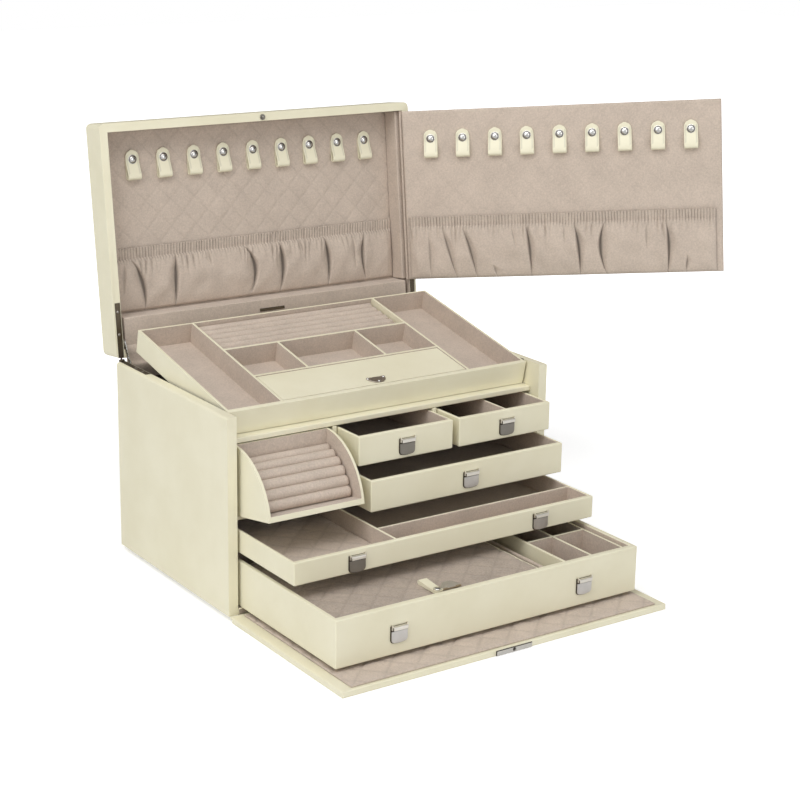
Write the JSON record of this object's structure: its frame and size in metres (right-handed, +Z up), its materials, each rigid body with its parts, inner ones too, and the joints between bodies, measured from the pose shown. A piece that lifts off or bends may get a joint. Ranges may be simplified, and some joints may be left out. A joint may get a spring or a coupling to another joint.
{
  "type": "tiered jewelry box",
  "caption": "Leather jewelry box with a lift-up lid, fold-out wing, tilting tray, tip-out ring bin, drawers behind a drop-down front and suede lining.",
  "frame": {"origin": "middle of the underside of the case's base board", "axes": "+X to the right seen from the front, +Y to the back, +Z up"},
  "size_m": [0.6889, 0.5495, 0.5114],
  "materials": {
    "cream_leather": "smooth cream leather",
    "taupe_suede": "taupe suede",
    "brushed_nickel": "satin nickel",
    "dark_bronze": "dark bronze",
    "bright_steel": "bright steel"
  },
  "bodies": {
    "case": {"side_panel_left": "cream_leather", "side_panel_right": "cream_leather", "base_panel": "cream_leather", "back_panel": "cream_leather", "foot_front_left": "cream_leather", "foot_rear_left": "cream_leather", "foot_front_right": "cream_leather", "foot_rear_right": "cream_leather", "tray_deck": "cream_leather", "middle_shelf": "cream_leather", "lower_shelf": "cream_leather", "upper_shelf": "cream_leather", "ring_bay_divider": "cream_leather", "small_drawer_divider": "cream_leather", "case_hinge_leaf_left": "dark_bronze", "case_hinge_leaf_right": "dark_bronze", "door_hinge_roll": "cream_leather"},
    "lid": {"lid_shell": "cream_leather", "lid_hinge_leaf_left": "dark_bronze", "lid_hinge_leaf_right": "dark_bronze", "lid_lining": "taupe_suede", "lid_pocket": "taupe_suede", "lid_apron": "taupe_suede", "apron_plate": "dark_bronze", "lid_catch_pin": "brushed_nickel", "wing_hinge_block": "taupe_suede", "wing_hinge_bead": "taupe_suede"},
    "wing": {"wing_board": "taupe_suede", "wing_pocket": "taupe_suede"},
    "tray": {"tray_body": "cream_leather", "tray_ring_rolls": "taupe_suede"},
    "tray_cover": {"tray_lid": "cream_leather", "tray_lid_tab": "brushed_nickel"},
    "stay_left": {"stay_arm_left": "bright_steel"},
    "stay_right": {"stay_arm_right": "bright_steel"},
    "bin": {"ring_bin": "cream_leather", "ring_bin_rolls": "taupe_suede"},
    "left_small": {"left_small_drawer": "cream_leather", "left_small_drawer_pull": "brushed_nickel"},
    "right_small": {"right_small_drawer": "cream_leather", "right_small_drawer_pull": "brushed_nickel"},
    "middle": {"middle_drawer": "cream_leather", "middle_drawer_pull": "brushed_nickel"},
    "shallow": {"shallow_drawer": "cream_leather", "shallow_drawer_pad": "taupe_suede", "shallow_drawer_pull_left": "brushed_nickel", "shallow_drawer_pull_right": "brushed_nickel"},
    "deep": {"deep_drawer": "cream_leather", "deep_drawer_pull_left": "brushed_nickel", "deep_drawer_pull_right": "brushed_nickel", "insert_tray": "cream_leather", "travel_case": "cream_leather"},
    "travel_lid": {"travel_case_lid": "taupe_suede", "travel_case_strap": "cream_leather", "travel_case_pull": "brushed_nickel"},
    "door": {"door_board": "cream_leather", "door_pad": "taupe_suede", "lock_plate": "brushed_nickel"}
  },
  "joints": [
    {"name": "lid_hinge", "type": "hinge", "parent": "case", "child": "lid", "pos_m": [0, 0.1299, 0.22], "axis": [1, 0, 0], "range_deg": [0, 71]},
    {"name": "wing_hinge", "type": "hinge", "parent": "lid", "child": "wing", "pos_m": [0.1962, 0.1307, 0.21991], "axis": [0, -0.1132, -0.9936], "range_deg": [-13, 136.5]},
    {"name": "tray_tilt", "type": "hinge", "parent": "case", "child": "tray", "pos_m": [0, -0.0959, 0.19587], "axis": [-1, 0, 0], "range_deg": [0, 11.97]},
    {"name": "tray_lid_hinge", "type": "hinge", "parent": "tray", "child": "tray_cover", "pos_m": [0, -0.04118, 0.23139], "axis": [-1, 0, 0], "range_deg": [0, 80]},
    {"name": "stay_left_pivot", "type": "hinge", "parent": "case", "child": "stay_left", "pos_m": [0, 0.1095, 0.205], "axis": [1, 0, 0], "range_deg": [0, 28.4]},
    {"name": "stay_right_pivot", "type": "hinge", "parent": "case", "child": "stay_right", "pos_m": [0, 0.1095, 0.205], "axis": [1, 0, 0], "range_deg": [0, 28.4]},
    {"name": "ring_bin_hinge", "type": "hinge", "parent": "case", "child": "bin", "pos_m": [0, -0.1095, 0.1094], "axis": [-1, 0, 0], "range_deg": [0, 79.8]},
    {"name": "left_small_drawer_slide", "type": "slide", "parent": "case", "child": "left_small", "axis": [0, -1, 0], "range_m": [-0.0415, 0.1]},
    {"name": "right_small_drawer_slide", "type": "slide", "parent": "case", "child": "right_small", "axis": [0, -1, 0], "range_m": [-0.0417, 0.1]},
    {"name": "middle_drawer_slide", "type": "slide", "parent": "case", "child": "middle", "axis": [0, -1, 0], "range_m": [-0.0665, 0.08]},
    {"name": "shallow_drawer_slide", "type": "slide", "parent": "case", "child": "shallow", "axis": [0, -1, 0], "range_m": [-0.1235, 0.05]},
    {"name": "deep_drawer_slide", "type": "slide", "parent": "case", "child": "deep", "axis": [0, -1, 0], "range_m": [-0.2013, 0.005]},
    {"name": "travel_case_lid_hinge", "type": "hinge", "parent": "deep", "child": "travel_lid", "pos_m": [0, -0.1165, 0.0465], "axis": [-1, 0, 0], "range_deg": [0, 4.5]},
    {"name": "door_hinge", "type": "hinge", "parent": "case", "child": "door", "pos_m": [0, -0.13, -0.001], "axis": [-1, 0, 0], "range_deg": [0, 1]}
  ],
  "couplings": [
    {"joint": "tray_tilt", "follows": "lid_hinge", "ratio": 0.16859},
    {"joint": "stay_left_pivot", "follows": "lid_hinge", "ratio": 0.4},
    {"joint": "stay_right_pivot", "follows": "lid_hinge", "ratio": 0.4}
  ]
}
